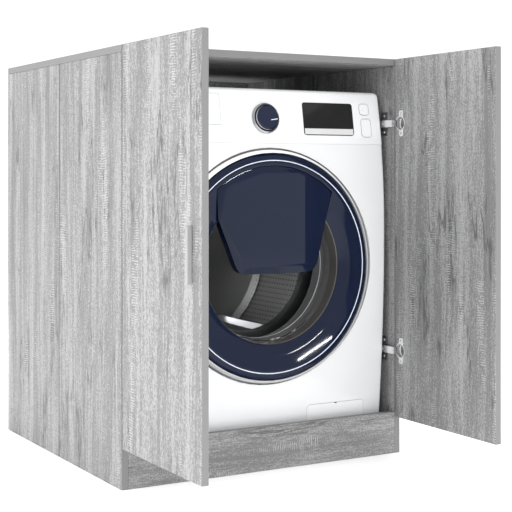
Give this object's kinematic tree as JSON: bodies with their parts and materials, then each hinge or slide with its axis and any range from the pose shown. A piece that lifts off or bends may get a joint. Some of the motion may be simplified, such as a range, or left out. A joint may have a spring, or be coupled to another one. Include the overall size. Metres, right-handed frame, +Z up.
{
  "type": "laundry cabinet with front-loading washing machine",
  "caption": "Grey-oak floor cabinet with two swing doors standing open around a white front-loading washing machine.",
  "frame": {"origin": "on the floor, under the middle of the whole object's bounding box", "axes": "+X towards the right side as seen from the front, +Y towards the back, +Z up"},
  "size_m": [0.727, 1.059, 0.915],
  "materials": {
    "laminate": "textured foil, grey oak grain",
    "handle_metal": "satin",
    "hinge_steel": "nickel plated",
    "hinge_zinc": "nickel plated",
    "enamel": "smooth gloss enamel",
    "white_plastic": "semi gloss",
    "navy_plastic": "high gloss",
    "chrome": "polished",
    "door_glass": "clear, slightly smoked",
    "dark_plastic": "gloss",
    "motor_metal": "satin",
    "drum_steel": "perforated stainless steel",
    "bare_steel": "zinc plated",
    "cast_aluminium": "as cast",
    "rubber": "matte",
    "grey_plastic": "matte",
    "base_plastic": "matte",
    "concrete": "cast",
    "circuit_board": "solder mask"
  },
  "bodies": {
    "root": {"control_board": "circuit_board", "control_fascia": "white_plastic", "counterweight": "concrete", "display_window": "dark_plastic", "door_gasket": "rubber", "door_hinge_bracket": "bare_steel", "door_latch": "dark_plastic", "drain_pump": "grey_plastic", "drain_spigot": "grey_plastic", "drawer_housing": "grey_plastic", "drive_belt": "rubber", "drive_motor": "motor_metal", "drum_bearing": "bare_steel", "inlet_valve": "grey_plastic", "knob_bezel": "chrome", "left_lower_hinge_arm": "hinge_steel", "left_tub_spring": "bare_steel", "left_upper_hinge_arm": "hinge_steel", "plinth": "laminate", "rear_rail": "laminate", "right_lower_hinge_arm": "hinge_steel", "right_tub_spring": "bare_steel", "right_upper_hinge_arm": "hinge_steel", "side_left_front": "laminate", "side_left_rear": "laminate", "side_right_front": "laminate", "side_right_rear": "laminate", "top_front": "laminate", "top_rear": "laminate", "tub": "grey_plastic", "washer_back": "enamel", "washer_base": "base_plastic", "washer_front": "enamel", "washer_left_side": "enamel", "washer_right_side": "enamel", "washer_worktop": "white_plastic"},
    "left_door": {"left_door": "laminate", "left_handle": "handle_metal", "left_lower_hinge_cup": "hinge_zinc", "left_upper_hinge_cup": "hinge_zinc"},
    "right_door": {"right_door": "laminate", "right_handle": "handle_metal", "right_lower_hinge_cup": "hinge_zinc", "right_upper_hinge_cup": "hinge_zinc"},
    "loading_door": {"loading_door_frame": "navy_plastic", "loading_door_trim": "chrome", "loading_door_glass": "door_glass", "loading_door_hinge": "bare_steel", "door_hook": "bare_steel"},
    "add_door": {"add_flap": "navy_plastic"},
    "drum": {"drum": "drum_steel", "drum_shaft": "drum_steel", "drum_pulley": "cast_aluminium"},
    "motor_rotor": {"motor_pulley": "bare_steel"},
    "knob": {"program_knob": "navy_plastic"},
    "upper_key": {"upper_button": "white_plastic"},
    "lower_key": {"lower_button": "white_plastic"},
    "drawer": {"detergent_drawer": "grey_plastic"},
    "service_flap": {"filter_flap": "white_plastic"},
    "filter_plug": {"drain_filter": "grey_plastic"}
  },
  "joints": [
    {"name": "left_door_hinge", "type": "hinge", "parent": "root", "child": "left_door", "pos_m": [-0.345, -0.186, 0.5], "axis": [0, 0, -1], "range_deg": [-90, 0]},
    {"name": "right_door_hinge", "type": "hinge", "parent": "root", "child": "right_door", "pos_m": [0.345, -0.186, 0.5], "axis": [0, 0, 1], "range_deg": [-90, 0]},
    {"name": "loading_door_hinge", "type": "hinge", "parent": "root", "child": "loading_door", "pos_m": [-0.2555, -0.1635, 0.4445], "axis": [0, 0, -1], "range_deg": [0, 95]},
    {"name": "add_door_hinge", "type": "hinge", "parent": "loading_door", "child": "add_door", "pos_m": [0.1705, -0.1705, 0.5445], "axis": [0, 0, 1], "range_deg": [0, 85]},
    {"name": "drum_spin", "type": "hinge", "parent": "root", "child": "drum", "pos_m": [0.0145, 0.1245, 0.4445], "axis": [0, 1, 0], "continuous": true},
    {"name": "motor_spin", "type": "hinge", "parent": "root", "child": "motor_rotor", "pos_m": [0.0145, 0.387, 0.118], "axis": [0, 1, 0], "continuous": true},
    {"name": "program_knob_turn", "type": "hinge", "parent": "root", "child": "knob", "pos_m": [0.0065, -0.14606, 0.7715], "axis": [0, -0.9873, 0.1589], "continuous": true},
    {"name": "upper_key_press", "type": "slide", "parent": "root", "child": "upper_key", "axis": [0, 1, 0], "range_m": [0, 0.002], "stiffness_N_per_m": 300, "springref_m": -0.001},
    {"name": "lower_key_press", "type": "slide", "parent": "root", "child": "lower_key", "axis": [0, 1, 0], "range_m": [0, 0.002], "stiffness_N_per_m": 300, "springref_m": -0.001},
    {"name": "drawer_slide", "type": "slide", "parent": "root", "child": "drawer", "axis": [0, -1, 0], "range_m": [0, 0.2]},
    {"name": "service_flap_hinge", "type": "hinge", "parent": "root", "child": "service_flap", "pos_m": [0.1925, -0.1371, 0.055], "axis": [1, 0, 0], "range_deg": [0, 15]},
    {"name": "filter_plug_turn", "type": "hinge", "parent": "root", "child": "filter_plug", "pos_m": [0.19, -0.1105, 0.092], "axis": [0, 1, 0], "continuous": true}
  ],
  "couplings": [
    {"joint": "motor_spin", "follows": "drum_spin", "ratio": 11.667}
  ]
}
